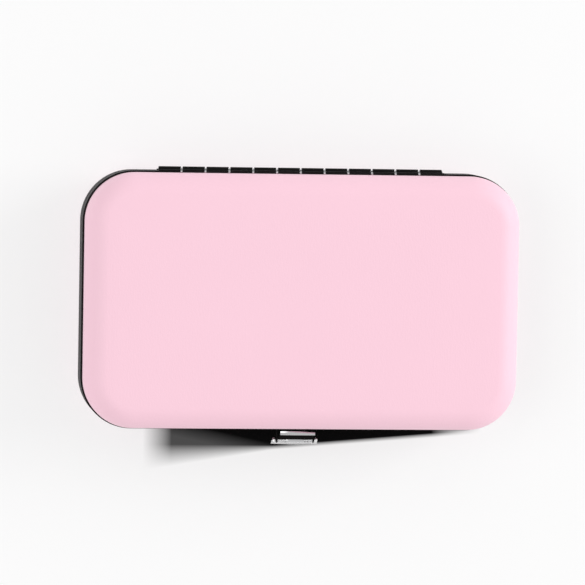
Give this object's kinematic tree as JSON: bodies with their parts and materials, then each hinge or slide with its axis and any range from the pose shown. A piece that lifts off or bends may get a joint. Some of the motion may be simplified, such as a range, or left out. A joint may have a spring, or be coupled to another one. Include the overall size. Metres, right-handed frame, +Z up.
{
  "type": "manicure set case",
  "caption": "Closed hard clasp case for a manicure set: pink leatherette halves in black metal frames, piano hinge, sprung clasp, foam tray with nail tools.",
  "frame": {"origin": "centre of the base half's flat underside, on the surface that the closed case lies on", "axes": "+X along the hinge, +Y from the case's middle to the hinge side with the clasp at -Y, +Z up from the base half to the lid"},
  "size_m": [0.12, 0.0766, 0.028],
  "materials": {
    "leatherette": "fine soft grain, satin",
    "shell_board": "plain moulded board",
    "flock": "short flock",
    "pad_cloth": "stretched velour",
    "black_lacquer": "gloss black lacquer",
    "steel_pin": "drawn bright wire",
    "chrome": "polished chrome",
    "tool_steel": "polished stainless steel",
    "tool_fastener": "turned steel",
    "file_steel": "cross-cut steel"
  },
  "bodies": {
    "base": {"base_cover": "leatherette", "base_shell": "shell_board", "base_lining": "flock", "base_frame": "black_lacquer", "tool_tray": "flock", "hinge_leaf_base": "black_lacquer", "hinge_pin": "steel_pin", "hinge_rivets_base": "black_lacquer", "clasp_bracket": "black_lacquer", "clasp_bracket_rivets": "black_lacquer", "clasp_pin": "chrome", "clasp_springs": "steel_pin"},
    "lid": {"lid_cover": "leatherette", "lid_shell": "shell_board", "lid_lining": "flock", "lid_frame": "black_lacquer", "lid_pad": "pad_cloth", "hinge_leaf_lid": "black_lacquer", "hinge_rivets_lid": "black_lacquer", "catch_plate": "black_lacquer", "catch_rivets": "black_lacquer"},
    "clasp_lever": {"clasp_lever": "chrome"},
    "large_clipper": {"large_clipper_lower_jaw": "tool_steel", "large_clipper_upper_jaw": "tool_steel", "large_clipper_lever": "tool_steel", "large_clipper_post": "tool_fastener", "large_clipper_rivet": "tool_fastener"},
    "small_clipper": {"small_clipper_lower_jaw": "tool_steel", "small_clipper_upper_jaw": "tool_steel", "small_clipper_lever": "tool_steel", "small_clipper_post": "tool_fastener", "small_clipper_rivet": "tool_fastener"},
    "scissors": {"scissors_blade_left": "tool_steel", "scissors_blade_right": "tool_steel", "scissors_screw": "tool_fastener"},
    "tweezers": {"tweezers": "tool_steel"},
    "nail_file": {"nail_file": "file_steel"},
    "cuticle_pusher": {"cuticle_pusher": "tool_steel"}
  },
  "joints": [
    {"name": "lid_hinge", "type": "hinge", "parent": "base", "child": "lid", "pos_m": [0, 0.0357, 0.014], "axis": [-1, 0, 0], "range_deg": [0, 180]},
    {"name": "clasp_press", "type": "hinge", "parent": "base", "child": "clasp_lever", "pos_m": [0, -0.0388, 0.0117], "axis": [1, 0, 0], "range_deg": [0, 20], "stiffness_Nm_per_rad": 0.05, "springref_deg": -11.46, "deforming": ["clasp_springs"]},
    {"name": "large_clipper_lift", "type": "slide", "parent": "base", "child": "large_clipper", "axis": [0, 0, 1], "range_m": [0, 0.008]},
    {"name": "small_clipper_lift", "type": "slide", "parent": "base", "child": "small_clipper", "axis": [0, 0, 1], "range_m": [0, 0.008]},
    {"name": "scissors_lift", "type": "slide", "parent": "base", "child": "scissors", "axis": [0, 0, 1], "range_m": [0, 0.008]},
    {"name": "tweezers_lift", "type": "slide", "parent": "base", "child": "tweezers", "axis": [0, 0, 1], "range_m": [0, 0.008]},
    {"name": "nail_file_lift", "type": "slide", "parent": "base", "child": "nail_file", "axis": [0, 0, 1], "range_m": [0, 0.008]},
    {"name": "cuticle_pusher_lift", "type": "slide", "parent": "base", "child": "cuticle_pusher", "axis": [0, 0, 1], "range_m": [0, 0.008]}
  ]
}
